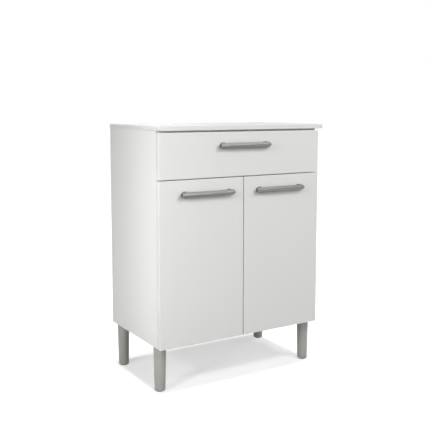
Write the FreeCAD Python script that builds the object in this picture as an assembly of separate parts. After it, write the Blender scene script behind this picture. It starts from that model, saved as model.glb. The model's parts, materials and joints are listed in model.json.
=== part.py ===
"""Kitchen cart: a white board cabinet on four tapered legs, with one drawer and two doors.

Millimetres, +Z up, the fronts facing -Y. The origin is on the floor, under the middle of the
object's bounding box. Left and right are as seen from the front.
"""
import FreeCAD
import Part

import math
import os
from dataclasses import dataclass

Vector = FreeCAD.Vector
X, Y, Z = Vector(1, 0, 0), Vector(0, 1, 0), Vector(0, 0, 1)

# ---------------------------------------------------------------- driving dimensions
# Overall sizes
cabinet_width = 610.0        # outer faces of the side panels
body_depth = 365.0           # face of the fronts to the rear of the back panel
overall_height = 832.0
leg_height = 144.0           # floor to underside of the cabinet, glide included
worktop_overhang = 20.0      # past the right side panel only

# Boards
board = 15.0                 # side, bottom, middle and rail panels, and the shelf
front_board = 15.0           # doors and drawer front
worktop_board = 15.0
hardboard = 3.0              # back panel and drawer bottom
drawer_board = 12.0
edge_radius = 1.0            # softened edges of the fronts and the worktop

# Gaps between the fronts
front_gap = 2.5              # fronts to the front edges of the carcass
reveal = 3.0                 # between two neighbouring fronts
top_reveal = 6.0             # drawer front to worktop
drawer_front_height = 142.0

# Shared clearances
fit_gap = 0.05               # round a screw, bolt, dowel or stud in its hole
seat_gap = 0.1               # round a disc or sheet let into a board
tip_gap = 0.5                # beyond the end of a screw, bolt or dowel
running_gap = 0.05           # all round a pin or an axle that something turns on
past = 1.0                   # how far a cutter runs past the face that it opens
weld = 0.3                   # how far a fused piece runs into its neighbour

# Screw heads, as shares of the head's radius or height
recess_depth, recess_reach, recess_half = 0.6, 0.55, 0.11
pan_crown, pan_brim = 0.7, 0.25

# Carcass
rail_depth = 70.0
shelf_end_gap = 1.2
shelf_front_setback = 20.0
shelf_back_gap = 4.0
shelf_pin_inset = 45.0       # from the shelf's front and back edges
shelf_pin_radius, shelf_pin_collar = 2.5, 1.5
shelf_pin_reach = 8.0        # into the panel, and out of it
shelf_pin_end_gap = 0.2      # collar to the shelf's end
back_margin = 1.0            # back panel edge to the cabinet's outer faces
nail_end_inset, nail_count = 40.0, 6
worktop_screw_cover = 4.0    # worktop left above its screws
joint_inset = 50.0           # first cam from the front edge of the carcass
joint_back_inset = 70.0      # last cam from the rear edge
dowel_step = 32.0            # dowel beside its cam
rail_joint_inset = 19.0

# Cam fittings and dowels
cam_radius = 7.5
cam_cover = 2.5              # board left above a cam
cam_reach = 34.0             # cam centre from the side panel
cam_slot, cam_slot_end_gap = 6.8, 0.7
cam_cross_reach, cam_cross_half, cam_cross_depth = 4.0, 0.6, 2.0
bolt_shank_radius, bolt_head_radius, bolt_thread_radius = 2.2, 3.1, 2.5
bolt_head_half, bolt_head_slope = 1.5, 1.0
bolt_hole_radius, bolt_collar = 4.0, 2.0
bolt_thread_length = 10.5
dowel_radius, dowel_length, dowel_in_side = 4.0, 30.0, 10.0

# Legs
leg_top_radius, leg_foot_radius = 20.2, 17.2
leg_foot_rounding = 3.0
leg_side_gap = 1.1           # leg's top to the plane of the side panel
leg_front_inset = 46.5       # leg axis from the face of the fronts
leg_back_inset = 44.5        # leg axis from the rear of the back panel
glide_radius, glide_height = 13.0, 2.0
glide_stud_radius, glide_stud_length = 2.5, 8.0
leg_bolt_radius, leg_bolt_in_leg = 4.0, 25.0
leg_bolt_wood_radius = 3.2
leg_bolt_cover = 3.0         # bottom panel left above a leg's bolt
small_bevel = 0.6            # glides and rollers

# Drawer
side_clearance = 12.5        # drawer box to side panel, taken up by the runners
drawer_past_runner = 10.0    # box depth beyond the runner's length
drawer_floor_gap = 12.0      # drawer side above the middle panel
groove_rise, groove_depth = 14.0, 5.0
bottom_edge_gap = 0.5        # drawer bottom to the end of its groove
rim_below_handle_screw = 2.4
corner_screw_inset = 12.0    # from the groove, and from the rim
front_screw_inset = 140.0    # from the drawer's inner corners
front_screw_rise, front_screw_drop = 10.0, 14.0
front_screw_cover = 6.0      # drawer front left before the screw's tip

# Runners
runner_step = 50.0           # runners come in this step of length
runner_room = 10.0           # least depth left behind a runner
travel_share = 0.75          # of the runner's length, as a single-extension runner gives
channel_setback = 2.0        # cabinet rail behind the carcass's front edge
rail_setback = 0.5           # drawer rail behind the carcass's front edge
sheet = 1.2                  # runner steel
rail_web_gap = 0.5           # drawer rail clear of the channel's flanges
rail_wall_gap = 2.0          # drawer rail's top flange to the side panel
lip_rise = 2.0               # drawer rail's lip above the channel's base
lip_end_gap = 1.0            # lip's edge to the drawer's inner face
roller_radius = 8.5
roller_gap = 0.3             # roller to the face it runs on, and to its axle's head
roller_web_gap = 0.4         # roller to the rail that carries it
roller_lift = 2.3            # front roller above the channel's base flange
roller_inset = 12.0          # axles from the rail ends
window_margin = 2.0          # channel's top flange behind the front roller
axle_radius, axle_head_radius, axle_head = 2.5, 3.2, 0.6
axle_end_gap = 1.4           # axle's head to the facing rail
screw_grid = 32.0
runner_screw_inset, runner_screw_end_inset = 37.0, 30.0
rail_screw_inset, rail_screw_end_inset, rail_screw_rise = 40.0, 60.0, 6.0

# Handles
handle_height, handle_bar_depth = 17.0, 9.0
handle_gap = 9.0             # bar to the face it is fixed on
post_spacing, post_radius = 160.0, 10.5
post_end_distance = 17.5     # post's axis to the end of the bar
handle_end_radius = 7.5
handle_shoulder = 2.5        # flat part of the bar's top and bottom
handle_nose_half, handle_nose_depth = 2.4, 1.1
handle_screw_in_bar = 5.0
drawer_handle_drop = 42.5    # bar's axis below the drawer front's top edge
door_handle_drop = 45.0
door_post_inset = 57.5       # inner post from the door's meeting edge

# Cup hinges (one pin each, inside the cup)
hinge_end_distance = 100.0   # from the door's top and bottom edges
cup_radius, cup_depth, cup_wall = 17.4, 12.0, 0.7
cup_edge_distance = 3.0      # cup hole to the door's outer edge
cup_flange, cup_rim = 1.0, 1.0
cup_wing_half_height, cup_wing_width, cup_wing_corner = 31.0, 14.0, 4.0
cup_screw_spacing, cup_screw_offset = 48.0, 9.5
pin_depth = 9.0              # pin from the door's rear face
corner_gap = 0.25            # door's corner to the side panel's edge as it swings past
pin_radius, pin_fit, knuckle_radius = 1.2, 0.02, 2.1
knuckle_half, cheek_thickness, cheek_gap = 4.0, 1.2, 0.3
cheek_reach, cheek_rise = 5.0, 4.0
arm_thickness, arm_half_width, arm_flange, arm_wall = 2.0, 7.0, 4.0, 1.2
arm_swing_gap = 1.0          # arm to the open door's cup flange
arm_widening, arm_flange_start, arm_reach = 5.0, 10.0, 60.0   # behind the carcass's front edge
least_plate_thickness = 2.8
plate_start, plate_end_gap = 18.0, 2.0
plate_wing, wing_half_width, wing_half_height, wing_corner = 2.0, 8.0, 24.0, 5.0
plate_screw_inset = 37.0     # from the carcass's front edge
arm_screw_step = 12.0        # behind the plate's own screws

# Bumper pads
pad_radius, pad_gap = 2.5, 0.2
pad_inset, pad_drop = 12.0, 25.0

# ---------------------------------------------------------------- places worked out from them
handle_projection = handle_gap + handle_bar_depth
left = -(cabinet_width + worktop_overhang) / 2
right = left + cabinet_width
middle = (left + right) / 2
front = -(body_depth + handle_projection) / 2 + handle_projection
back = front + body_depth
top = overall_height
carcass_top = top - worktop_board
inner_left, inner_right = left + board, right - board
front_rear = front + front_board            # rear face of the doors and the drawer front
side_front, side_back = front_rear + front_gap, back - hardboard
bottom_top = leg_height + board

drawer_front_top = carcass_top - top_reveal
drawer_front_base = drawer_front_top - drawer_front_height
door_top = drawer_front_base - reveal
middle_panel_base = (drawer_front_base + door_top - board) / 2
shelf_base = (bottom_top + middle_panel_base - board) / 2
cam_height = board - cam_cover
leg_bolt_in_panel = board - leg_bolt_cover
carcass_x, carcass_y = (inner_left, inner_right), (side_front, side_back)

# The door's rear corner, on its way round the pin, passes the side panel's front edge
pin_inset = math.sqrt((pin_depth + front_gap - corner_gap) ** 2 - pin_depth ** 2)
pin_x, pin_y = left + pin_inset, front_rear - pin_depth
arm_base = max(inner_left + least_plate_thickness, pin_x + pin_depth + cup_flange + arm_swing_gap)
arm_x = (arm_base, arm_base + arm_thickness)
plate_thickness = arm_base - inner_left


@dataclass(frozen=True)
class Screw:
    """A screw: pan heads stand on the surface, flush heads are let into it."""
    radius: float
    length: float
    head_radius: float
    head_height: float
    flush: bool = False


handle_screw = Screw(2.0, front_board + handle_gap + handle_screw_in_bar, 4.0, 2.4)
worktop_screw = Screw(2.0, board + worktop_board - worktop_screw_cover, 4.0, 2.0)
small_screw = Screw(1.7, 12.0, 3.3, 1.8)
runner_screw = Screw(1.7, 10.0, 3.2, 1.2, flush=True)
rail_screw = Screw(1.5, 7.5, 2.8, 1.2, flush=True)
corner_screw = Screw(2.0, 34.0, 3.8, 2.6, flush=True)
front_screw = Screw(1.7, drawer_board + front_board - front_screw_cover, 3.4, 1.8, flush=True)
arm_screw = Screw(2.5, arm_thickness + plate_thickness - tip_gap, 4.0, 1.8)
nail = Screw(0.8, 18.0, 1.8, 1.0, flush=True)

nodes = {}


# ---------------------------------------------------------------- helpers
def box(x, y, z):
    """Block between two limits along each axis."""
    return Part.makeBox(x[1] - x[0], y[1] - y[0], z[1] - z[0], Vector(x[0], y[0], z[0]))


def rod(radius, length, start, direction):
    """Cylinder that starts at a point and runs along a direction."""
    return Part.makeCylinder(radius, length, start, direction)


def placed(shape, origin, direction):
    """Copy of a shape built along +Z, with that axis turned to a direction."""
    copy = shape.copy()
    copy.Placement = FreeCAD.Placement(origin, FreeCAD.Rotation(Z, direction))
    return copy


def turned(profile):
    """Solid of revolution about Z from (radius, height) points that start and end on the axis."""
    points = [Vector(radius, 0, height) for radius, height in profile]
    face = Part.Face(Part.makePolygon(points + points[:1]))
    return face.revolve(Vector(0, 0, 0), Z, 360)


def fuse(shapes):
    """One solid out of several that overlap or touch."""
    return shapes[0].fuse(shapes[1:]).removeSplitter()


def cut(shape, cutters):
    """Shape with every cutter taken away."""
    return shape.cut(cutters) if cutters else shape


def mirrored(shapes):
    """Copies on the other side of the cabinet's middle plane."""
    return [shape.mirror(Vector(middle, 0, 0), X) for shape in shapes]


def both_sides(shapes):
    """The left-hand shapes and their right-hand copies."""
    return shapes + mirrored(shapes)


def soften(shape, radius, wanted):
    """Round the edges for which wanted(edge) holds."""
    return shape.makeFillet(radius, [edge for edge in shape.Edges if wanted(edge)])


def edge_lies(edge, axis, value):
    """True when the whole edge lies at one value of an axis."""
    low = getattr(edge.BoundBox, axis + "Min")
    high = getattr(edge.BoundBox, axis + "Max")
    return abs(low - value) < 1e-6 and abs(high - value) < 1e-6


def driven(screw, origin, direction):
    """Screw with its bearing face at a point, driven along a direction."""
    depth = recess_depth * screw.head_height
    reach, half = recess_reach * screw.head_radius, recess_half * screw.head_radius
    if screw.flush:
        outline = [(0, 0), (screw.head_radius, 0), (screw.radius, screw.head_height)]
        recess = (-past, depth)
    else:
        crown = pan_crown * screw.head_radius
        outline = [(0, -screw.head_height), (crown, -screw.head_height),
                   (screw.head_radius, -pan_brim * screw.head_height),
                   (screw.head_radius, 0), (screw.radius, 0)]
        recess = (-screw.head_height - past, depth - screw.head_height)
    outline += [(screw.radius, screw.length - screw.radius), (0, screw.length)]
    slots = [box((-reach, reach), (-half, half), recess), box((-half, half), (-reach, reach), recess)]
    return placed(cut(turned(outline), slots), origin, direction)


def screw_hole(screw, origin, direction):
    """Cutter for a screw's hole, with its clearance and its countersink."""
    radius = screw.radius + fit_gap
    outline = [(0, -tip_gap), (radius, -tip_gap)]
    if screw.flush:
        rim = screw.head_radius + fit_gap
        outline = [(0, -tip_gap), (rim, -tip_gap), (rim, fit_gap), (radius, screw.head_height + fit_gap)]
    outline += [(radius, screw.length + tip_gap), (0, screw.length + tip_gap)]
    return placed(turned(outline), origin, direction)


def driven_all(screw, places, direction):
    """The same screw at several places."""
    return [driven(screw, place, direction) for place in places]


def holes_for(screw, places, direction):
    """Cutters for the same screw at several places."""
    return [screw_hole(screw, place, direction) for place in places]


# ---------------------------------------------------------------- cam joints and dowels
def cam_joint(y, base):
    """Cam disc and bolt at the left end of a flat panel whose underside is at base."""
    bolt_height = base + board / 2
    centre = inner_left + cam_reach
    half = cam_slot / 2
    slot = box((centre - cam_radius - past, centre + bolt_head_radius + cam_slot_end_gap),
               (y - half, y + half), (bolt_height - half, bolt_height + half))
    cross_z = (base - past, base + cam_cross_depth)
    long_x, long_y = [(spot - cam_cross_reach, spot + cam_cross_reach) for spot in (centre, y)]
    thin_x, thin_y = [(spot - cam_cross_half, spot + cam_cross_half) for spot in (centre, y)]
    cross = [box(long_x, thin_y, cross_z), box(thin_x, long_y, cross_z)]
    disc = cut(rod(cam_radius, cam_height, Vector(centre, y, base), Z), [slot] + cross)
    collar_radius, head_start = bolt_hole_radius - fit_gap, cam_reach - bolt_head_half
    head_end = cam_reach + bolt_head_half
    bolt = turned([(0, -bolt_thread_length), (bolt_thread_radius, bolt_head_slope - bolt_thread_length),
                   (bolt_thread_radius, 0), (collar_radius, 0),
                   (collar_radius, bolt_collar), (bolt_shank_radius, bolt_collar),
                   (bolt_shank_radius, head_start - bolt_head_slope), (bolt_head_radius, head_start),
                   (bolt_head_radius, head_end), (0, head_end + bolt_head_slope)])
    return disc, placed(bolt, Vector(inner_left, y, bolt_height), X)


def cam_cuts(y, base):
    """Cutters for a cam joint: first the panel's, then the side panel's."""
    bolt_height = base + board / 2
    pocket = rod(cam_radius + fit_gap, past + cam_height + seat_gap,
                 Vector(inner_left + cam_reach, y, base - past), Z)
    channel = rod(bolt_hole_radius, past + cam_reach, Vector(inner_left - past, y, bolt_height), X)
    thread = rod(bolt_thread_radius + fit_gap, past + bolt_thread_length + tip_gap,
                 Vector(inner_left + past, y, bolt_height), -X)
    return [pocket, channel], [thread]


def dowel(y, base):
    """Dowel at the left end of a flat panel."""
    return rod(dowel_radius, dowel_length,
               Vector(inner_left - dowel_in_side, y, base + board / 2), X)


def dowel_cut(y, base):
    """Cutter for a dowel's hole, through both pieces."""
    start = Vector(inner_left - dowel_in_side - tip_gap, y, base + board / 2)
    return rod(dowel_radius + fit_gap, dowel_length + 2 * tip_gap, start, X)


rail_base = carcass_top - board
front_rail_y = (side_front, side_front + rail_depth)
back_rail_y = (side_back - rail_depth, side_back)
flat_panels = {
    "bottom_panel": (carcass_y, leg_height),
    "middle_panel": (carcass_y, middle_panel_base),
    "front_top_rail": (front_rail_y, rail_base),
    "back_top_rail": (back_rail_y, rail_base),
}
full_joints = [(side_front + joint_inset, dowel_step), (side_back - joint_back_inset, -dowel_step)]
panel_joints = {
    "bottom_panel": full_joints,
    "middle_panel": full_joints,
    "front_top_rail": [(side_front + rail_joint_inset, dowel_step)],
    "back_top_rail": [(side_back - rail_joint_inset, -dowel_step)],
}

cams, bolts, dowels = [], [], []
panel_cuts = {name: [] for name in flat_panels}
side_cuts = []
for name, joints in panel_joints.items():
    base = flat_panels[name][1]
    for y, step in joints:
        disc, bolt = cam_joint(y, base)
        in_panel, in_side = cam_cuts(y, base)
        cams.append(disc)
        bolts.append(bolt)
        dowels.append(dowel(y + step, base))
        panel_cuts[name] += both_sides(in_panel + [dowel_cut(y + step, base)])
        side_cuts += in_side + [dowel_cut(y + step, base)]
nodes["cam_discs"] = both_sides(cams)
nodes["cam_bolts"] = both_sides(bolts)
nodes["dowels"] = both_sides(dowels)

# ---------------------------------------------------------------- legs, their bolts and glides
leg_left_x = left + leg_side_gap + leg_top_radius
leg_rows = {"front": front + leg_front_inset, "back": back - leg_back_inset}


def leg():
    """Tapered leg with its bolt hole and its glide hole, standing on the origin's floor."""
    body = Part.makeCone(leg_foot_radius, leg_top_radius, leg_height - glide_height,
                         Vector(0, 0, glide_height), Z)
    body = soften(body, leg_foot_rounding, lambda edge: edge_lies(edge, "Z", glide_height))
    bolt_hole = rod(leg_bolt_radius + fit_gap, leg_bolt_in_leg + tip_gap + past,
                    Vector(0, 0, leg_height - leg_bolt_in_leg - tip_gap), Z)
    stud_hole = rod(glide_stud_radius + fit_gap, past + glide_stud_length + tip_gap,
                    Vector(0, 0, glide_height - past), Z)
    return cut(body, [bolt_hole, stud_hole])


def leg_bolt():
    """Hanger bolt: machine thread down into the leg, wood thread up into the panel."""
    return turned([(0, leg_height - leg_bolt_in_leg), (leg_bolt_radius, leg_height - leg_bolt_in_leg),
                   (leg_bolt_radius, leg_height), (leg_bolt_wood_radius, leg_height),
                   (leg_bolt_wood_radius, leg_height + leg_bolt_in_panel - leg_bolt_wood_radius),
                   (0, leg_height + leg_bolt_in_panel)])


def glide():
    """Plastic glide with a stud pressed up into the foot."""
    return turned([(0, 0), (glide_radius - small_bevel, 0), (glide_radius, small_bevel),
                   (glide_radius, glide_height), (glide_stud_radius, glide_height),
                   (glide_stud_radius, glide_height + glide_stud_length),
                   (0, glide_height + glide_stud_length)])


leg_bolts, glides = [], []
for row, y in leg_rows.items():
    spot = Vector(leg_left_x, y, 0)
    pair = both_sides([placed(leg(), spot, Z)])
    nodes["leg_" + row + "_left"], nodes["leg_" + row + "_right"] = pair[:1], pair[1:]
    leg_bolts.append(placed(leg_bolt(), spot, Z))
    glides.append(placed(glide(), spot, Z))
    panel_cuts["bottom_panel"] += both_sides(
        [rod(leg_bolt_wood_radius + fit_gap, past + leg_bolt_in_panel + tip_gap,
             Vector(leg_left_x, y, leg_height - past), Z)])
nodes["leg_bolts"] = both_sides(leg_bolts)
nodes["foot_glides"] = both_sides(glides)

# ---------------------------------------------------------------- worktop and its screws
worktop = box((left, right + worktop_overhang), (front, back), (carcass_top, top))
worktop = soften(worktop, edge_radius, lambda edge: not edge_lies(edge, "Z", carcass_top))
quarter = cabinet_width / 4
worktop_screws = [Vector(middle + side * quarter, sum(rail) / 2, rail_base)
                  for side in (-1, 1) for rail in (front_rail_y, back_rail_y)]
worktop_holes = holes_for(worktop_screw, worktop_screws, Z)
nodes["worktop"] = [cut(worktop, worktop_holes)]
nodes["worktop_screws"] = driven_all(worktop_screw, worktop_screws, Z)
panel_cuts["front_top_rail"] += worktop_holes
panel_cuts["back_top_rail"] += worktop_holes

# ---------------------------------------------------------------- back panel and its nails
back_x = (left + back_margin, right - back_margin)
back_z = (leg_height + back_margin, carcass_top - back_margin)
nail_step = (back_z[1] - back_z[0] - 2 * nail_end_inset) / (nail_count - 1)
nail_places = [Vector(x, back, back_z[0] + nail_end_inset + row * nail_step)
               for x in (left + board / 2, right - board / 2) for row in range(nail_count)]
for base in (leg_height, middle_panel_base, rail_base):
    nail_places += [Vector(middle + step * quarter, back, base + board / 2) for step in (-1, 0, 1)]
nail_holes = holes_for(nail, nail_places, -Y)
nodes["back_panel"] = [cut(box(back_x, (side_back, back), back_z), nail_holes)]
nodes["back_panel_nails"] = driven_all(nail, nail_places, -Y)
for name in ("bottom_panel", "middle_panel", "back_top_rail"):
    panel_cuts[name] += nail_holes
side_cuts += [hole for hole, place in zip(nail_holes, nail_places) if place.x < inner_left]

# ---------------------------------------------------------------- shelf on its pins
shelf_y = (side_front + shelf_front_setback, side_back - shelf_back_gap)
nodes["shelf"] = [box((inner_left + shelf_end_gap, inner_right - shelf_end_gap), shelf_y,
                      (shelf_base, shelf_base + board))]
collar_radius, collar_end = shelf_pin_radius + shelf_pin_collar, shelf_end_gap - shelf_pin_end_gap
shelf_pin = turned([(0, -shelf_pin_reach), (shelf_pin_radius, -shelf_pin_reach),
                    (shelf_pin_radius, 0), (collar_radius, 0),
                    (collar_radius, collar_end), (shelf_pin_radius, collar_end),
                    (shelf_pin_radius, shelf_pin_reach), (0, shelf_pin_reach)])
pin_height = shelf_base - shelf_pin_radius - fit_gap
pin_places = [Vector(inner_left, y, pin_height)
              for y in (shelf_y[0] + shelf_pin_inset, shelf_y[1] - shelf_pin_inset)]
nodes["shelf_pins"] = both_sides([placed(shelf_pin, place, X) for place in pin_places])
side_cuts += [rod(shelf_pin_radius + fit_gap, past + shelf_pin_reach + tip_gap, place + X * past, -X)
              for place in pin_places]

# ---------------------------------------------------------------- drawer runners
runner_length = runner_step * int((side_back - side_front - runner_room) / runner_step)
drawer_base = middle_panel_base + board + drawer_floor_gap
channel_flange = side_clearance - sheet - rail_web_gap
channel_height = 2 * (sheet + roller_gap + roller_radius)
channel_base = drawer_base - sheet - lip_rise
channel_top = channel_base + channel_height
channel_x = (inner_left, inner_left + channel_flange)
channel_y = (side_front + channel_setback, side_front + channel_setback + runner_length)
rail_y = (side_front + rail_setback, side_front + rail_setback + runner_length)
rail_web = (inner_left + side_clearance - sheet, inner_left + side_clearance)
axle_length = side_clearance - 2 * sheet - axle_end_gap
roller_width = axle_length - roller_web_gap - roller_gap - axle_head
front_axle = Vector(inner_left + sheet, channel_y[0] + roller_inset,
                    channel_base + sheet + roller_lift + roller_radius)
rear_axle = Vector(rail_web[0], rail_y[1] - roller_inset, (channel_base + channel_top) / 2)
rail_flange_base = front_axle.z + roller_radius + roller_gap


def stub_axle(base, direction):
    """Riveted stub axle with its head, standing on a rail's web."""
    neck = axle_length - axle_head
    shape = turned([(0, -sheet / 2), (axle_radius, -sheet / 2), (axle_radius, neck),
                    (axle_head_radius, neck), (axle_head_radius, axle_length), (0, axle_length)])
    return placed(shape, base, direction)


def roller(base, direction):
    """Nylon roller on a stub axle."""
    bore, rim = axle_radius + running_gap, roller_radius - small_bevel
    ring = Part.makePolygon([Vector(radius, 0, height) for radius, height in [
        (bore, 0), (rim, 0), (roller_radius, small_bevel), (roller_radius, roller_width - small_bevel),
        (rim, roller_width), (bore, roller_width), (bore, 0)]])
    wheel = Part.Face(ring).revolve(Vector(0, 0, 0), Z, 360)
    return placed(wheel, base + direction * roller_web_gap, direction)


window_end = front_axle.y + roller_radius + window_margin
channel = fuse([
    box((inner_left, inner_left + sheet), channel_y, (channel_base, channel_top)),
    box(channel_x, channel_y, (channel_base, channel_base + sheet)),
    box(channel_x, (window_end, channel_y[1]), (channel_top - sheet, channel_top)),
    stub_axle(front_axle, X),
])
last_step = int((runner_length - runner_screw_inset - runner_screw_end_inset) / screw_grid)
runner_screw_places = [
    Vector(inner_left + sheet, side_front + runner_screw_inset + step * screw_grid,
           (channel_base + channel_top) / 2)
    for step in (0, (last_step + 1) // 2, last_step)]
runner_holes = holes_for(runner_screw, runner_screw_places, -X)
channel = cut(channel, runner_holes)
nodes["runner_left"], nodes["runner_right"] = [channel], mirrored([channel])
side_cuts += runner_holes

front_roller, rear_roller = roller(front_axle, X), roller(rear_axle, -X)
nodes["runner_roller_left"], nodes["runner_roller_right"] = [front_roller], mirrored([front_roller])
nodes["drawer_roller_left"], nodes["drawer_roller_right"] = [rear_roller], mirrored([rear_roller])

# ---------------------------------------------------------------- drawer
box_x = (inner_left + side_clearance, inner_right - side_clearance)
box_y = (front_rear, front_rear + runner_length + drawer_past_runner)
drawer_handle_z = drawer_front_top - drawer_handle_drop
drawer_rim = drawer_handle_z - handle_screw.head_radius - rim_below_handle_screw
box_z = (drawer_base, drawer_rim)
within_x = (box_x[0] + drawer_board, box_x[1] - drawer_board)
within_y = (box_y[0] + drawer_board, box_y[1] - drawer_board)
groove_z = (drawer_base + groove_rise, drawer_base + groove_rise + hardboard + seat_gap)
groove = box((within_x[0] - groove_depth, within_x[1] + groove_depth),
             (within_y[0] - groove_depth, within_y[1] + groove_depth), groove_z)
edge_room = groove_depth - bottom_edge_gap
nodes["drawer_bottom"] = [box((within_x[0] - edge_room, within_x[1] + edge_room),
                              (within_y[0] - edge_room, within_y[1] + edge_room),
                              (groove_z[0], groove_z[0] + hardboard))]

corner_heights = (groove_z[1] + corner_screw_inset, drawer_rim - corner_screw_inset)
corner_places = [Vector(box_x[0], y, z) for z in corner_heights
                 for y in (box_y[0] + drawer_board / 2, box_y[1] - drawer_board / 2)]
corner_holes = both_sides(holes_for(corner_screw, corner_places, X))
nodes["drawer_corner_screws"] = both_sides(driven_all(corner_screw, corner_places, X))

lip_z = (drawer_base - sheet, drawer_base)
flange_z = (rail_flange_base, rail_flange_base + sheet)
rail = fuse([
    box(rail_web, rail_y, (lip_z[0], flange_z[1])),
    box((rail_web[0], within_x[0] - lip_end_gap), rail_y, lip_z),
    box((inner_left + rail_wall_gap, rail_web[1]), rail_y, flange_z),
    stub_axle(rear_axle, -X),
])
rail_screw_ends = (rail_y[0] + rail_screw_inset, rail_y[1] - rail_screw_end_inset)
rail_screw_places = [Vector(rail_web[0], y, drawer_base + rail_screw_rise)
                     for y in (rail_screw_ends[0], sum(rail_screw_ends) / 2, rail_screw_ends[1])]
rail_holes = holes_for(rail_screw, rail_screw_places, X)
rail = cut(rail, rail_holes)
nodes["drawer_rail_left"], nodes["drawer_rail_right"] = [rail], mirrored([rail])
nodes["drawer_rail_screws"] = both_sides(driven_all(rail_screw, rail_screw_places, X))

drawer_side = cut(box((box_x[0], within_x[0]), box_y, box_z), [groove] + corner_holes + rail_holes)
nodes["drawer_side_left"], nodes["drawer_side_right"] = [drawer_side], mirrored([drawer_side])
nodes["drawer_box_back"] = [cut(box(within_x, (within_y[1], box_y[1]), box_z),
                                [groove] + corner_holes)]

front_screw_places = [
    Vector(x, within_y[0], z)
    for x in (within_x[0] + front_screw_inset, within_x[1] - front_screw_inset)
    for z in (groove_z[1] + front_screw_rise, drawer_rim - front_screw_drop)]
front_screw_holes = holes_for(front_screw, front_screw_places, -Y)
nodes["drawer_front_screws"] = driven_all(front_screw, front_screw_places, -Y)
nodes["drawer_box_front"] = [cut(box(within_x, (box_y[0], within_y[0]), box_z),
                                 [groove] + corner_holes + front_screw_holes)]


# ---------------------------------------------------------------- fronts and their handles
def front_panel(x, z):
    """Board with softened front edges."""
    panel = box(x, (front, front_rear), z)
    return soften(panel, edge_radius, lambda edge: edge_lies(edge, "Y", front))


def handle(x, z):
    """Bar, posts, screws and screw holes of a handle centred at x, with its axis at height z."""
    rear_face, ridge = front - handle_gap, front - handle_projection
    half = handle_height / 2
    corners = [Vector(0, rear_face, z + half), Vector(0, rear_face - handle_shoulder, z + half),
               Vector(0, ridge + handle_nose_depth, z + handle_nose_half)]
    lower = [Vector(point.x, point.y, 2 * z - point.z) for point in corners]
    nose = Part.Arc(corners[2], Vector(0, ridge, z), lower[2]).toShape()
    outline = Part.Wire([Part.makeLine(corners[0], corners[1]), Part.makeLine(corners[1], corners[2]),
                         nose, Part.makeLine(lower[2], lower[1]), Part.makeLine(lower[1], lower[0]),
                         Part.makeLine(lower[0], corners[0])])
    reach = post_spacing / 2 + post_end_distance
    bar = Part.Face(outline).extrude(X * 2 * reach)
    bar.translate(X * (x - reach))
    mask = box((x - reach, x + reach), (ridge - past, rear_face + past), (z - half, z + half))
    mask = soften(mask, handle_end_radius,
                  lambda edge: edge.BoundBox.YLength > handle_bar_depth)
    spots = [x - post_spacing / 2, x + post_spacing / 2]
    screw_places = [Vector(spot, front_rear, z) for spot in spots]
    holes = holes_for(handle_screw, screw_places, -Y)
    posts = [cut(rod(post_radius, handle_gap, Vector(spot, front, z), -Y), holes) for spot in spots]
    return cut(bar.common(mask), holes), posts, driven_all(handle_screw, screw_places, -Y), holes


bar, posts, screws, holes = handle(middle, drawer_handle_z)
drawer_front = front_panel((left, right), (drawer_front_base, drawer_front_top))
nodes["drawer_front"] = [cut(drawer_front, holes + front_screw_holes)]
nodes["drawer_handle_bar"] = [bar]
nodes["drawer_handle_posts"] = posts
nodes["drawer_handle_screws"] = screws

# ---------------------------------------------------------------- hinges of the left door
hinge_heights = (leg_height + hinge_end_distance, door_top - hinge_end_distance)
cup_x = left + cup_edge_distance + cup_radius + seat_gap
arm_end = side_front + arm_reach
cheek_z = (knuckle_half + cheek_gap, knuckle_half + cheek_gap + cheek_thickness)


def hinge_cup(height):
    """Cup let into the door, with its flange and the two cheeks that hold the pin."""
    mouth = Vector(cup_x, front_rear, height)
    inner_radius = cup_radius - cup_wall
    inner_depth = cup_depth - cup_wall
    flange_y = (front_rear, front_rear + cup_flange)
    wing_z = (height - cup_wing_half_height, height + cup_wing_half_height)
    disc = rod(cup_radius + cup_rim, cup_flange, mouth, Y)
    disc = disc.common(box((left + cup_edge_distance, cup_x + 2 * cup_radius), flange_y, wing_z))
    wing_x = cup_x + cup_screw_offset
    wing = box((wing_x - cup_wing_width / 2, wing_x + cup_wing_width / 2), flange_y, wing_z)
    wing = soften(wing, cup_wing_corner, lambda edge: edge.BoundBox.YLength > cup_flange / 2)
    shell = fuse([rod(cup_radius, cup_depth, mouth, -Y), disc, wing])
    hollow = rod(inner_radius, inner_depth + cup_flange + past, mouth + Y * (cup_flange + past), -Y)
    bore = rod(pin_radius + pin_fit, 2 * cup_radius, Vector(pin_x, pin_y, height - cup_radius), Z)
    cheeks = []
    for side in (-1, 1):
        span = sorted(height + side * z for z in cheek_z)
        cheek = box((left, pin_x + cheek_reach),
                    (front_rear - inner_depth - weld, pin_y + cheek_rise), span)
        cheeks.append(cheek.common(rod(inner_radius + weld, cup_depth, mouth, -Y)))
    return fuse([cut(shell, [hollow])] + cheeks).cut([bore] + cup_screw_holes(height))


def cup_screw_places(height):
    """Bearing points of the two screws that hold a cup."""
    x = cup_x + cup_screw_offset
    return [Vector(x, front_rear + cup_flange, height + side * cup_screw_spacing / 2)
            for side in (-1, 1)]


def cup_screw_holes(height):
    """Cutters for the two screws that hold a cup."""
    return holes_for(small_screw, cup_screw_places(height), -Y)


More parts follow.
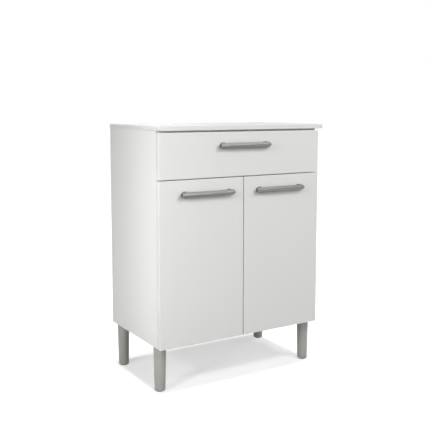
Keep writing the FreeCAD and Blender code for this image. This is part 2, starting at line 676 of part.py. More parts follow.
def hinge_arm(height):
    """Gooseneck arm: from the pin, round the door's edge and back along the side panel."""
    knuckle = rod(knuckle_radius, 2 * knuckle_half, Vector(pin_x, pin_y, height - knuckle_half), Z)
    neck_y = (pin_y - arm_thickness / 2, pin_y + arm_thickness / 2)
    neck_z = (height - knuckle_half, height + knuckle_half)
    wide_z = (height - arm_half_width, height + arm_half_width)
    widening = side_front + arm_widening
    neck = fuse([box((pin_x, arm_x[1]), neck_y, neck_z), box(arm_x, (neck_y[0], widening), neck_z)])
    neck = soften(neck, arm_thickness, lambda edge: (
        edge.BoundBox.ZLength > knuckle_half and abs(edge.BoundBox.XMax - arm_x[1]) < 1e-6
        and edge.BoundBox.YMax < pin_y))
    flanges = [box((arm_x[0], arm_x[1] + arm_flange), (side_front + arm_flange_start, arm_end), span)
               for span in ((wide_z[0], wide_z[0] + arm_wall), (wide_z[1] - arm_wall, wide_z[1]))]
    body = fuse([knuckle, neck, box(arm_x, (widening, arm_end), wide_z)] + flanges)
    bore = rod(pin_radius + running_gap, 2 * (knuckle_half + past),
               Vector(pin_x, pin_y, neck_z[0] - past), Z)
    return body.cut([bore, screw_hole(arm_screw, arm_screw_place(height), -X)])


def arm_screw_place(height):
    """Bearing point of the screw that holds an arm on its plate."""
    return Vector(arm_x[1], side_front + plate_screw_inset + arm_screw_step, height)


def plate_screw_places(height):
    """Bearing points of the two screws that hold a mounting plate."""
    return [Vector(inner_left + plate_wing, side_front + plate_screw_inset,
                   height + side * screw_grid / 2) for side in (-1, 1)]


def hinge_plate(height):
    """Mounting plate: a raised spine under the arm and two screwed wings."""
    spine = box((inner_left, arm_x[0]), (side_front + plate_start, arm_end - plate_end_gap),
                (height - arm_half_width, height + arm_half_width))
    screw_y = side_front + plate_screw_inset
    wings = box((inner_left, inner_left + plate_wing),
                (screw_y - wing_half_width, screw_y + wing_half_width),
                (height - wing_half_height, height + wing_half_height))
    wings = soften(wings, wing_corner, lambda edge: edge.BoundBox.XLength > plate_wing / 2)
    holes = holes_for(small_screw, plate_screw_places(height), -X)
    return fuse([spine, wings]).cut(holes + [screw_hole(arm_screw, arm_screw_place(height), -X)])


arms, plates, arm_screws, plate_screws, plate_holes = [], [], [], [], []
for height in hinge_heights:
    arms.append(hinge_arm(height))
    plates.append(hinge_plate(height))
    arm_screws.append(driven(arm_screw, arm_screw_place(height), -X))
    plate_screws += driven_all(small_screw, plate_screw_places(height), -X)
    plate_holes += holes_for(small_screw, plate_screw_places(height), -X)
nodes["hinge_arms"] = both_sides(arms)
nodes["hinge_plates"] = both_sides(plates)
nodes["hinge_arm_screws"] = both_sides(arm_screws)
runner_screws = driven_all(runner_screw, runner_screw_places, -X)
nodes["side_panel_screws"] = both_sides(plate_screws + runner_screws)
side_cuts += plate_holes

# ---------------------------------------------------------------- doors
door_x = (left, middle - reveal / 2)
door_z = (leg_height, door_top)
door_handle_x = door_x[1] - door_post_inset - post_spacing / 2
bar, posts, screws, handle_holes = handle(door_handle_x, door_top - door_handle_drop)
cups = [hinge_cup(height) for height in hinge_heights]
pin_half = cheek_z[1]
pins = [rod(pin_radius, 2 * pin_half, Vector(pin_x, pin_y, height - pin_half), Z)
        for height in hinge_heights]
cup_screws, door_cuts = [], list(handle_holes)
for height in hinge_heights:
    cup_screws += driven_all(small_screw, cup_screw_places(height), -Y)
    door_cuts += cup_screw_holes(height)
    door_cuts.append(rod(cup_radius + seat_gap, cup_depth + seat_gap + 1,
                         Vector(cup_x, front_rear + 1, height), -Y))
door = cut(front_panel(door_x, door_z), door_cuts)
door_pieces = {
    "door": [door],
    "door_handle_bar": [bar],
    "door_handle_posts": posts,
    "door_handle_screws": screws,
    "hinge_cups": cups,
    "hinge_pins": pins,
    "hinge_cup_screws": cup_screws,
}
for name, shapes in door_pieces.items():
    nodes["left_" + name] = shapes
    nodes["right_" + name] = mirrored(shapes)

# ---------------------------------------------------------------- bumper pads on the carcass
pad_x = middle - reveal / 2 - pad_inset
drawer_pad_height = drawer_front_top - pad_drop
pad_places = [Vector(pad_x, side_front, leg_height + board / 2),
              Vector(pad_x, side_front, (middle_panel_base + door_top) / 2),
              Vector(left + board / 2, side_front, drawer_pad_height)]
nodes["bumper_pads"] = both_sides([rod(pad_radius, front_gap - pad_gap, place, -Y)
                                   for place in pad_places])

# ---------------------------------------------------------------- carcass panels
side_panel = box((left, inner_left), carcass_y, (leg_height, carcass_top))
side_panel = cut(side_panel, side_cuts)
nodes["left_side_panel"], nodes["right_side_panel"] = [side_panel], mirrored([side_panel])
for name, (depth, base) in flat_panels.items():
    nodes[name] = [cut(box(carcass_x, depth, (base, base + board)), panel_cuts[name])]

# ---------------------------------------------------------------- write the parts
os.makedirs("parts", exist_ok=True)
for name, shapes in nodes.items():
    solids = [solid for shape in shapes for solid in shape.Solids]
    if len(solids) != len(shapes):
        raise ValueError(f"{name}: {len(shapes)} pieces gave {len(solids)} solids")
    whole = solids[0] if len(solids) == 1 else Part.makeCompound(solids)
    whole.exportStep(os.path.join("parts", name + ".step"))
print(len(nodes), "nodes,", sum(len(shapes) for shapes in nodes.values()), "solids")
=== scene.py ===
"""Looks of the kitchen cart: its finishes, its softened and dressed pieces, the studio and the camera.

Metres, +Z up, the fronts facing -Y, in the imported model's own frame.
"""
import json
import logging
import math
from dataclasses import dataclass, field
from enum import Enum
from typing import Any, Callable

import bmesh
import bpy
from mathutils import Matrix, Vector


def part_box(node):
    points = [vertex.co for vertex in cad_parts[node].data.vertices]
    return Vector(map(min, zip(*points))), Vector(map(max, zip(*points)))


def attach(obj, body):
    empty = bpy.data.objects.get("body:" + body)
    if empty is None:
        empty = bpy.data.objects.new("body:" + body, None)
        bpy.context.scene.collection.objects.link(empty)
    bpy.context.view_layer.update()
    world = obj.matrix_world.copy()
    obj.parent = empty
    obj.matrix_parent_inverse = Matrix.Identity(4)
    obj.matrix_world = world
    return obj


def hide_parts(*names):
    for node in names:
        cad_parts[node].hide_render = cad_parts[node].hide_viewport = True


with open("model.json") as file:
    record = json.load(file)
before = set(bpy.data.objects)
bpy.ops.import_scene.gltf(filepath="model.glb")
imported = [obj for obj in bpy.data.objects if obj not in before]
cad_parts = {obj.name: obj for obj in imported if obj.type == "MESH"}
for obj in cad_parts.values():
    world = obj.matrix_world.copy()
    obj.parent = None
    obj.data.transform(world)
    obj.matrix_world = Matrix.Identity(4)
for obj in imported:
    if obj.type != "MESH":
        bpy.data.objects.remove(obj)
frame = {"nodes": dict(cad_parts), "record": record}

MM = 0.001
TOUCHING = 0.001 * MM  # vertices nearer than this are one
SQUARE = 0.999  # a face whose normal has more than this along an axis is square to it
Colour = tuple[float, float, float]

log = logging.getLogger("kitchen_cart")


# ---------------------------------------- shader graphs
class Wire:
    """A value in a node tree; arithmetic on it adds Math nodes."""

    def __init__(self, tree: "Tree", socket: bpy.types.NodeSocket) -> None:
        """Wrap one output socket of a tree."""
        self.tree = tree
        self.socket = socket

    def maths(self, operation: str, *others: "Wire | float", clamp: bool = False) -> "Wire":
        """Put this value and others through one Math node.

        Args:
            operation: The Math node's operation.
            others: The node's further inputs.
            clamp: Whether the result stays between 0 and 1.

        Returns:
            The node's result.
        """
        return self.tree.maths(operation, self, *others, clamp=clamp)

    def __add__(self, other: "Wire | float") -> "Wire":
        """Sum, with a plain number on either side."""
        return self.maths("ADD", other)

    __radd__ = __add__

    def __sub__(self, other: "Wire | float") -> "Wire":
        """Difference."""
        return self.maths("SUBTRACT", other)

    def __rsub__(self, other: float) -> "Wire":
        """Difference from a plain number."""
        return self.tree.maths("SUBTRACT", other, self)

    def __mul__(self, other: "Wire | float") -> "Wire":
        """Product, with a plain number on either side."""
        return self.maths("MULTIPLY", other)

    __rmul__ = __mul__

    def __truediv__(self, other: "Wire | float") -> "Wire":
        """Quotient."""
        return self.maths("DIVIDE", other)

    def above(self, edge: float, width: float) -> "Wire":
        """Mask that rises from 0 to 1 over a band centred on an edge.

        Args:
            edge: The value at the middle of the band.
            width: The band's width.

        Returns:
            The mask.
        """
        return ((self - edge) / width + 0.5).maths("ADD", 0.0, clamp=True)


class Tree:
    """A node tree, filled by calls and by arithmetic on its values."""

    def __init__(self, tree: bpy.types.NodeTree) -> None:
        """Empty a tree to fill it."""
        self.tree = tree
        self.tree.nodes.clear()

    def node(self, kind: str, settings: dict[str, Any] | None = None,
             inputs: dict[int | str, Any] | None = None) -> bpy.types.Node:
        """Add one node.

        Args:
            kind: The node's type.
            settings: Its own settings, set first. "stops" gives a ramp's positions and colours.
            inputs: Values, sockets or wires for its inputs.

        Returns:
            The node.
        """
        made = self.tree.nodes.new(kind)
        for key, value in (settings or {}).items():
            if key == "stops":
                self._set_stops(made.color_ramp, value)
            else:
                setattr(made, key, value)
        for key, value in (inputs or {}).items():
            self.feed(made.inputs[key], value)
        return made

    @staticmethod
    def _set_stops(ramp: bpy.types.ColorRamp, stops: list[tuple[float, Colour]]) -> None:
        """Give a colour ramp its stops.

        Args:
            ramp: The ramp.
            stops: Position and colour of each stop, in order.
        """
        while len(ramp.elements) < len(stops):
            ramp.elements.new(1.0)
        for element, (position, colour) in zip(ramp.elements, stops):
            element.position = position
            element.color = (*colour, 1.0)

    def feed(self, socket: bpy.types.NodeSocket, value: Any) -> None:
        """Set or link an input.

        Args:
            socket: The input.
            value: A number, a colour, a socket or a wire.
        """
        if isinstance(value, Wire):
            self.tree.links.new(value.socket, socket)
        elif isinstance(value, bpy.types.NodeSocket):
            self.tree.links.new(value, socket)
        elif socket.type == "RGBA" and len(value) == 3:
            socket.default_value = (*value, 1.0)
        else:
            socket.default_value = value

    def maths(self, operation: str, *values: Wire | float, clamp: bool = False) -> Wire:
        """Add one Math node.

        Args:
            operation: Its operation.
            values: Its inputs, in order.
            clamp: Whether the result stays between 0 and 1.

        Returns:
            The node's result.
        """
        made = self.node("ShaderNodeMath", {"operation": operation, "use_clamp": clamp},
                         dict(enumerate(values)))
        return Wire(self, made.outputs[0])

    def blend(self, mask: Any, first: Any, second: Any) -> bpy.types.NodeSocket:
        """Mix two colours.

        Args:
            mask: 0 for the first, 1 for the second, as a number, a socket or a wire.
            first: A colour or a socket.
            second: A colour or a socket.

        Returns:
            The mixed colour.
        """
        return self.node("ShaderNodeMix", {"data_type": "RGBA"}, {0: mask, 6: first, 7: second}).outputs[2]

    def seen(self) -> Wire:
        """Mask of the rays that show the surroundings: camera, glossy and transmission rays.

        Returns:
            The mask.
        """
        path = self.node("ShaderNodeLightPath")
        mask = Wire(self, path.outputs["Is Camera Ray"])
        for ray in ("Is Glossy Ray", "Is Transmission Ray"):
            mask = mask.maths("MAXIMUM", Wire(self, path.outputs[ray]))
        return mask


class Graph(Tree):
    """The node tree of one material, with its Principled shader."""

    def __init__(self, name: str) -> None:
        """Start a material with its shader.

        Args:
            name: The material's name.
        """
        self.material = bpy.data.materials.new(name)
        self.material.use_nodes = True
        super().__init__(self.material.node_tree)
        self.shader = self.node("ShaderNodeBsdfPrincipled")
        self.node("ShaderNodeOutputMaterial", {}, {0: self.shader.outputs[0]})
        self.point = self.node("ShaderNodeTexCoord").outputs["Object"]

    def noise(self, feature: float, detail: float = 2.0,
              stretch: tuple[float, float, float] = (1.0, 1.0, 1.0)) -> Wire:
        """Smooth noise about 0.5, over the piece's Object coordinates.

        Args:
            feature: The size of its features, in metres.
            detail: How many finer layers it holds.
            stretch: Factors on the coordinates, below 1 for long features along that axis.

        Returns:
            The noise's value.
        """
        place = self.node("ShaderNodeMapping", {}, {"Vector": self.point, "Scale": stretch})
        made = self.node("ShaderNodeTexNoise", {"noise_dimensions": "3D"},
                         {"Vector": place.outputs[0], "Scale": 1.0 / feature, "Detail": detail})
        return Wire(self, made.outputs[0])

    def facing(self, axis: int) -> Wire:
        """How far the surface faces along an axis of the piece, -1 to 1.

        Args:
            axis: 0, 1 or 2 for X, Y or Z.

        Returns:
            The component of the surface's normal.
        """
        normal = self.node("ShaderNodeTexCoord").outputs["Normal"]
        split = self.node("ShaderNodeSeparateXYZ", {}, {0: normal})
        return Wire(self, split.outputs[axis])

    def relief(self, height: Wire, depth: float, strength: float = 1.0) -> None:
        """Give the surface a fine relief.

        Args:
            height: The relief's height, 0 to 1.
            depth: What 1 is in metres.
            strength: How much of it shows.
        """
        bump = self.node("ShaderNodeBump", {}, {"Height": height, "Distance": depth, "Strength": strength})
        self.feed(self.shader.inputs["Normal"], bump.outputs[0])

    def finish(self, **sockets: Any) -> bpy.types.Material:
        """Feed the Principled shader.

        Args:
            sockets: Values by socket name, with _ for the spaces.

        Returns:
            The material.
        """
        for name, value in sockets.items():
            self.feed(self.shader.inputs[name.replace("_", " ")], value)
        return self.material


# ---------------------------------------- finishes
def shade(colour: Colour, factor: float) -> Colour:
    """A colour made lighter or darker by a factor."""
    return tuple(channel * factor for channel in colour)


@dataclass(frozen=True)
class Finish:
    """A colour and a roughness that vary a little, over a fine relief."""
    name: str
    colour: Colour
    roughness: float
    colour_swing: float = 0.05
    roughness_swing: float = 0.10
    depth: float = 0.02 * MM
    strength: float = 0.5

    def varied_colour(self, graph: Graph, tone: Wire) -> bpy.types.NodeSocket:
        """The colour, lighter where the tone is high."""
        return graph.blend(tone, shade(self.colour, 1.0 - self.colour_swing),
                           shade(self.colour, 1.0 + self.colour_swing))

    def varied_roughness(self, tone: Wire) -> Wire:
        """The roughness, higher where the tone is high."""
        return (tone - 0.5) * self.roughness_swing + self.roughness


@dataclass(frozen=True)
class Laminate(Finish):
    """Satin melamine on board, with a fine pearl relief."""
    name: str = "white_laminate"
    colour: Colour = (0.80, 0.80, 0.79)
    roughness: float = 0.36
    colour_swing: float = 0.015
    depth: float = 0.03 * MM
    strength: float = 0.35
    specular: float = 0.45
    pearl: float = 0.9 * MM
    cloud: float = 350 * MM
    pearl_share: float = 0.35

    def build(self) -> bpy.types.Material:
        """Make the material.

        Returns:
            The material.
        """
        g = Graph(self.name)
        pearl, cloud = g.noise(self.pearl, detail=3.0), g.noise(self.cloud)
        tone = pearl * self.pearl_share + cloud * (1.0 - self.pearl_share)
        g.relief(pearl, self.depth, self.strength)
        return g.finish(Base_Color=self.varied_colour(g, tone), Roughness=self.varied_roughness(pearl),
                        Specular_IOR_Level=self.specular)


@dataclass(frozen=True)
class Hardboard:
    """Thin fibreboard, lacquered white on one face and bare brown on the other."""
    name: str
    axis: int
    bare_side: int
    lacquer: Colour = (0.78, 0.78, 0.76)
    lacquer_roughness: float = 0.42
    fibre: Colour = (0.36, 0.225, 0.125)
    fibre_roughness: float = 0.70
    fibre_shades: tuple[tuple[float, float], ...] = ((0.30, 0.72), (0.50, 1.0), (0.72, 1.22))
    roughness_swing: float = 0.08
    mottle: float = 9 * MM
    fleck: float = 1.1 * MM
    fleck_stretch: tuple[float, float, float] = (1.0, 1.0, 0.35)
    depth: float = 0.10 * MM
    strength: float = 0.5

    def build(self) -> bpy.types.Material:
        """Make the material.

        Returns:
            The material.
        """
        g = Graph(self.name)
        mottle = g.noise(self.mottle, detail=4.0)
        flecks = g.noise(self.fleck, detail=3.0, stretch=self.fleck_stretch)
        stops = [(place, shade(self.fibre, factor)) for place, factor in self.fibre_shades]
        bare = g.node("ShaderNodeValToRGB", {"stops": stops}, {0: mottle * 0.5 + flecks * 0.5})
        mask = (g.facing(self.axis) * float(self.bare_side)).above(edge=0.5, width=0.2)
        g.relief(flecks, self.depth, self.strength)
        roughness = mask * (self.fibre_roughness - self.lacquer_roughness) + self.lacquer_roughness
        return g.finish(Base_Color=g.blend(mask, self.lacquer, bare.outputs[0]),
                        Roughness=roughness + (mottle - 0.5) * self.roughness_swing)


@dataclass(frozen=True)
class LegPlastic(Finish):
    """Silver-grey moulding with a faint metallic fleck."""
    name: str = "leg_plastic"
    colour: Colour = (0.37, 0.365, 0.345)
    roughness: float = 0.42
    colour_swing: float = 0.07
    roughness_swing: float = 0.08
    strength: float = 0.4
    fleck: float = 0.45 * MM
    cloud: float = 30 * MM
    fleck_share: float = 0.6
    fleck_metal: float = 0.22

    def build(self) -> bpy.types.Material:
        """Make the material.

        Returns:
            The material.
        """
        g = Graph(self.name)
        fleck, cloud = g.noise(self.fleck), g.noise(self.cloud)
        tone = fleck * self.fleck_share + cloud * (1.0 - self.fleck_share)
        g.relief(fleck, self.depth, self.strength)
        return g.finish(Base_Color=self.varied_colour(g, tone), Roughness=self.varied_roughness(cloud),
                        Metallic=fleck * self.fleck_metal)


@dataclass(frozen=True)
class Moulding(Finish):
    """Plain moulded plastic, nylon or rubber."""
    roughness_swing: float = 0.12
    grain: float = 0.7 * MM
    cloud: float = 12 * MM

    def build(self) -> bpy.types.Material:
        """Make the material.

        Returns:
            The material.
        """
        g = Graph(self.name)
        grain, cloud = g.noise(self.grain), g.noise(self.cloud)
        g.relief(grain, self.depth, self.strength)
        return g.finish(Base_Color=self.varied_colour(g, cloud), Roughness=self.varied_roughness(grain))


@dataclass(frozen=True)
class Metal(Finish):
    """Plated, cast or brushed metal."""
    colour_swing: float = 0.08
    roughness_swing: float = 0.14
    depth: float = 0.01 * MM
    strength: float = 0.6
    grain: float = 0.5 * MM
    cloud: float = 15 * MM
    brushed: tuple[float, float, float] = (1.0, 1.0, 1.0)

    def build(self) -> bpy.types.Material:
        """Make the material.

        Returns:
            The material.
        """
        g = Graph(self.name)
        lines, cloud = g.noise(self.grain, detail=3.0, stretch=self.brushed), g.noise(self.cloud)
        g.relief(lines, self.depth, self.strength)
        return g.finish(Base_Color=self.varied_colour(g, lines * 0.5 + cloud * 0.5), Metallic=1.0,
                        Roughness=self.varied_roughness(lines))


@dataclass(frozen=True)
class PowderCoat(Finish):
    """Baked paint on sheet steel."""
    name: str = "runner_steel"
    colour: Colour = (0.78, 0.78, 0.765)
    roughness: float = 0.4
    colour_swing: float = 0.03
    depth: float = 0.04 * MM
    coat: float = 0.2
    peel: float = 1.4 * MM
    cloud: float = 25 * MM

    def build(self) -> bpy.types.Material:
        """Make the material.

        Returns:
            The material.
        """
        g = Graph(self.name)
        peel, cloud = g.noise(self.peel, detail=1.0), g.noise(self.cloud)
        g.relief(peel, self.depth, self.strength)
        return g.finish(Base_Color=self.varied_colour(g, cloud), Roughness=self.varied_roughness(peel),
                        Coat_Weight=self.coat)


@dataclass(frozen=True)
class Timber(Finish):
    """Turned beech with its grain along the pin."""
    name: str = "beech"
    colour: Colour = (0.62, 0.43, 0.25)
    roughness: float = 0.575
    roughness_swing: float = 0.15
    dark_grain: float = 0.7
    light_grain: float = 1.15
    depth: float = 0.08 * MM
    grain: float = 1.2 * MM
    grain_stretch: tuple[float, float, float] = (0.08, 1.0, 1.0)

    def build(self) -> bpy.types.Material:
        """Make the material.

        Returns:
            The material.
        """
        g = Graph(self.name)
        grain = g.noise(self.grain, detail=4.0, stretch=self.grain_stretch)
        g.relief(grain, self.depth, self.strength)
        colour = g.blend(grain, shade(self.colour, self.dark_grain), shade(self.colour, self.light_grain))
        return g.finish(Base_Color=colour, Roughness=self.varied_roughness(grain))


class Slot(Enum):
    """The record's material slots."""
    LAMINATE = "white_laminate"
    HARDBOARD = "hardboard"
    LEG = "leg_plastic"
    GLIDE = "glide_plastic"
    HANDLE = "handle_silver"
    PLATED = "plated_steel"
    HINGE = "hinge_steel"
    RUNNER = "runner_steel"
    NYLON = "white_nylon"
    ZINC = "zinc"
    BEECH = "beech"
    RUBBER = "clear_rubber"


@dataclass
class Finishes:
    """One built material per slot, and those of the nodes that differ from their slot's."""
    back_panel_axis: int = 1
    drawer_bottom_axis: int = 2
    by_slot: dict[Slot, bpy.types.Material] = field(default_factory=dict)
    by_node: dict[str, bpy.types.Material] = field(default_factory=dict)

    def build(self) -> "Finishes":
        """Make every material once.

        Returns:
            The finishes.
        """
        recipes = {
            Slot.LAMINATE: Laminate(),
            Slot.LEG: LegPlastic(),
            Slot.GLIDE: Moulding("glide_plastic", (0.035, 0.035, 0.035), 0.5),
            Slot.HANDLE: Metal("handle_silver", (0.165, 0.163, 0.157), 0.32,
                               grain=0.35 * MM, brushed=(0.02, 1.0, 1.0)),
            Slot.PLATED: Metal("plated_steel", (0.62, 0.61, 0.56), 0.30),
            Slot.HINGE: Metal("hinge_steel", (0.66, 0.66, 0.65), 0.22),
            Slot.RUNNER: PowderCoat(),
            Slot.NYLON: Moulding("white_nylon", (0.80, 0.80, 0.77), 0.34),
            Slot.ZINC: Metal("zinc", (0.50, 0.50, 0.51), 0.42),
            Slot.BEECH: Timber(),
            Slot.RUBBER: Moulding("clear_rubber", (0.70, 0.71, 0.70), 0.25),
            Slot.HARDBOARD: Hardboard("hardboard", self.back_panel_axis, 1),
        }
        self.by_slot = {slot: recipe.build() for slot, recipe in recipes.items()}
        self.by_node = {
            "drawer_bottom": Hardboard("hardboard_drawer", self.drawer_bottom_axis, -1).build(),
            "worktop": Laminate("worktop_laminate", roughness=0.60, specular=0.2).build(),
        }
        return self

    def dress(self, piece: bpy.types.Object, slot: Slot, node: str) -> None:
        """Give a piece its one material.

        Args:
            piece: The piece.
            slot: The slot whose finish it takes.
            node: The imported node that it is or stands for.
        """
        piece.data.materials.clear()
        piece.data.materials.append(self.by_node.get(node, self.by_slot[slot]))

    def stand_in(self, piece: bpy.types.Object, slot: Slot, body: str, node: str) -> None:
        """Dress a piece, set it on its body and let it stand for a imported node.

        Args:
            piece: The piece.
            slot: The slot whose finish it takes.
            body: The body that it moves with.
            node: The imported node.
        """
        self.dress(piece, slot, node)
        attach(piece, body)
        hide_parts(node)
        log.info("%s stands for %s", piece.name, node)


# ---------------------------------------- the work bench
class Axis(Enum):
    """A direction along which something is round or long."""
    X = 0
    Y = 1
    Z = 2


Span = tuple[Vector, Vector]
Test = Callable[[Vector, Vector], bool]


def near(value: float, place: float) -> bool:
    """Whether two lengths in metres agree to a hundredth of a millimetre."""
    return abs(value - place) < 0.01 * MM


def midpoint(span: Span) -> Vector:
    """The middle of a box."""
    return (span[0] + span[1]) / 2


def solids_of(node: str) -> list[Span]:
    """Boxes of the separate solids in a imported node.

    Args:
        node: The node's name.

    Returns:
        Lowest and highest corner of each solid.
    """
    mesh = bmesh.new()
    mesh.from_mesh(frame["nodes"][node].data)
    bmesh.ops.remove_doubles(mesh, verts=mesh.verts, dist=TOUCHING)
    waiting = set(mesh.verts)
    spans = []
    while waiting:
        edge = [waiting.pop()]
        members = list(edge)
        while edge:
            vertex = edge.pop()
            for link in vertex.link_edges:
                other = link.other_vert(vertex)
                if other in waiting:
                    waiting.remove(other)
                    edge.append(other)
                    members.append(other)
        corners = [[pick(vertex.co[axis] for vertex in members) for axis in range(3)] for pick in (min, max)]
        spans.append((Vector(corners[0]), Vector(corners[1])))
    mesh.free()
    return sorted(spans, key=lambda span: tuple(round(value, 5) for value in span[0]))


def joined(pieces: list[bpy.types.Object]) -> bpy.types.Object:
    """Join pieces into the first of them.

    Args:
        pieces: The pieces, at least one.

    Returns:
        The joined piece.
    """
    bpy.ops.object.select_all(action="DESELECT")
    for piece in pieces:
        piece.select_set(True)
    bpy.context.view_layer.objects.active = pieces[0]
    bpy.ops.object.join()
    pieces[0].select_set(False)
    return pieces[0]


class Bench:
    """One new piece while it is shaped, in edit mode, with what is picked on it."""

    def __init__(self, name: str) -> None:
        """Take the primitive that was just added.

        Args:
            name: The piece's name.
        """
        self.piece = bpy.context.active_object
        self.piece.name = name
        self.piece.data.name = name
        bpy.ops.object.transform_apply(location=True, rotation=True, scale=True)
        bpy.ops.object.mode_set(mode="EDIT")

    @classmethod
    def block(cls, name: str, span: Span) -> "Bench":
        """Start from a block.

        Args:
            name: The piece's name.
            span: Its lowest and highest corner.

        Returns:
            The piece on the bench.
        """
        bpy.ops.object.select_all(action="DESELECT")
        bpy.ops.mesh.primitive_cube_add(size=1.0, location=midpoint(span))
        bpy.context.active_object.scale = span[1] - span[0]
        return cls(name)

    @classmethod
    def round_bar(cls, name: str, base: Vector, length: float, radii: tuple[float, float],
                  axis: Axis = Axis.Z, sides: int = 64) -> "Bench":
        """Start from a round bar or a taper.

        Args:
            name: The piece's name.
            base: The middle of its lower end along the axis.
            length: Its length.
            radii: Its radius at the lower and at the upper end.
            axis: The axis that it lies along.
            sides: How many flats make the round.

        Returns:
            The piece on the bench.
        """
        bpy.ops.object.select_all(action="DESELECT")
        along = Vector([float(axis.value == index) for index in range(3)])
        bpy.ops.mesh.primitive_cone_add(vertices=sides, radius1=radii[0], radius2=radii[1], depth=length,
                                        end_fill_type="NGON", location=base + along * length / 2)
        bpy.context.active_object.rotation_euler = along.to_track_quat("Z", "Y").to_euler()
        return cls(name)

    def _pick(self, kind: str, wanted: Callable[[Any], bool]) -> "Bench":
        """Select elements of one kind.

        Args:
            kind: VERT, EDGE or FACE.
            wanted: Test on the element.

        Returns:
            The piece on the bench.
        """
        bpy.ops.mesh.select_mode(type=kind)
        bpy.ops.mesh.select_all(action="DESELECT")
        mesh = bmesh.from_edit_mesh(self.piece.data)
        for element in {"VERT": mesh.verts, "EDGE": mesh.edges, "FACE": mesh.faces}[kind]:
            element.select_set(wanted(element))
        mesh.select_flush_mode()
        bmesh.update_edit_mesh(self.piece.data)
        return self

    def faces(self, wanted: Test) -> "Bench":
        """Pick faces by their middle and their normal."""
        return self._pick("FACE", lambda face: wanted(face.calc_center_median(), face.normal))

    def edges(self, wanted: Test) -> "Bench":
        """Pick edges by their two ends."""
        return self._pick("EDGE", lambda edge: wanted(edge.verts[0].co, edge.verts[1].co))

    def points(self, wanted: Callable[[Vector], bool]) -> "Bench":
        """Pick vertices by their place."""
        return self._pick("VERT", lambda vertex: wanted(vertex.co))

    def bevel(self, width: float, segments: int = 3) -> "Bench":
        """Round the picked edges."""
        bpy.ops.mesh.bevel(offset=width, offset_type="OFFSET", segments=segments, affect="EDGES",
                           clamp_overlap=True)
        return self

    def inset(self, width: float, rise: float = 0.0) -> "Bench":
        """Inset the picked faces and move the inner face along its normal."""
        bpy.ops.mesh.inset(thickness=width, depth=rise, use_even_offset=True)
        return self

    def extrude(self, shift: Vector) -> "Bench":
        """Extrude what is picked."""
        bpy.ops.mesh.extrude_region_move(TRANSFORM_OT_translate={"value": shift})
        return self

    def slide(self, shift: Vector) -> "Bench":
        """Move what is picked."""
        bpy.ops.transform.translate(value=shift)
        return self

    def resize(self, factors: tuple[float, float, float], centre: Vector) -> "Bench":
        """Scale what is picked about a point."""
        bpy.ops.transform.resize(value=factors, center_override=centre)
        return self

    def split(self, place: Vector, normal: Vector) -> "Bench":
        """Add a loop of edges where a plane passes through.

        Args:
            place: A point on the plane.
            normal: The plane's normal.

        Returns:
            The piece on the bench.
        """
        bpy.ops.mesh.select_all(action="SELECT")
        bpy.ops.mesh.bisect(plane_co=place, plane_no=normal)
        return self

    def take_away(self, cutters: list[bpy.types.Object]) -> "Bench":
        """Cut other pieces out of this one and throw them away.

        Args:
            cutters: The pieces to cut with.

        Returns:
            The piece on the bench.
        """
        bpy.ops.object.mode_set(mode="OBJECT")
        if cutters:
            cutter = joined(cutters)
            bpy.context.view_layer.objects.active = self.piece
            modifier = self.piece.modifiers.new("cut", "BOOLEAN")
            modifier.operation = "DIFFERENCE"
            modifier.solver = "EXACT"
            modifier.use_self = False
            modifier.object = cutter
            bpy.ops.object.modifier_apply(modifier=modifier.name)
            bpy.data.objects.remove(cutter)
            self.piece.select_set(True)
        bpy.ops.object.mode_set(mode="EDIT")
        return self

    def rough_done(self) -> bpy.types.Object:
        """Leave edit mode with the piece as it is, to cut with."""
        bpy.ops.object.mode_set(mode="OBJECT")
        return self.piece

    def done(self, crease_deg: float = 30.0) -> bpy.types.Object:
        """Merge, turn the faces outwards, smooth and keep the flats flat.

        Args:
            crease_deg: Edges sharper than this stay crisp.

        Returns:
            The finished piece.
        """
        bpy.ops.mesh.select_mode(type="VERT")
        bpy.ops.mesh.select_all(action="SELECT")
        bpy.ops.mesh.remove_doubles(threshold=2 * TOUCHING)
        bpy.ops.mesh.normals_make_consistent(inside=False)
        bpy.ops.object.mode_set(mode="OBJECT")
        bpy.ops.object.select_all(action="DESELECT")
        self.piece.select_set(True)
        bpy.context.view_layer.objects.active = self.piece
        bpy.ops.object.shade_smooth_by_angle(angle=math.radians(crease_deg))
        modifier = self.piece.modifiers.new("flats", "WEIGHTED_NORMAL")
        modifier.keep_sharp = True
        bpy.ops.object.modifier_apply(modifier=modifier.name)
        self.piece.select_set(False)
        return self.piece


def copy_of(piece: bpy.types.Object, name: str, shift: Vector) -> bpy.types.Object:
    """A copy with its own mesh, moved in its mesh.

    Args:
        piece: The piece to copy.
        name: The copy's name.
        shift: How far the copy is moved.

    Returns:
        The copy.
    """
    copy = bpy.data.objects.new(name, piece.data.copy())
    copy.data.name = name
    bpy.context.scene.collection.objects.link(copy)
    copy.data.transform(Matrix.Translation(shift))
    return copy


@dataclass(frozen=True)
class Bore:
    """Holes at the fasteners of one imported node."""
    fasteners: str
    axis: Axis
    radius: float
    beyond: float = 0.5 * MM
    sides: int = 24

    def cutters(self, span: Span) -> list[bpy.types.Object]:
        """Round cutters for the fasteners that reach into a board.

        Args:
            span: The board's box.

        Returns:
            The cutters.
        """
        made = []
        along = self.axis.value
        for low, high in solids_of(self.fasteners):
            if any(high[axis] < span[0][axis] or low[axis] > span[1][axis] for axis in range(3)):
                continue
            base = midpoint((low, high))
            base[along] = low[along] - self.beyond
            length = high[along] - low[along] + 2 * self.beyond
            bench = Bench.round_bar("cutter", base, length, (self.radius, self.radius), self.axis,
                                    self.sides)
            made.append(bench.rough_done())
        return made


# ---------------------------------------- boards
class Band(Enum):
    """Where a board's edge band meets its faces, as a fine seam."""
    NONE = 0
    ALL_ROUND = 1
    FRONT = 2


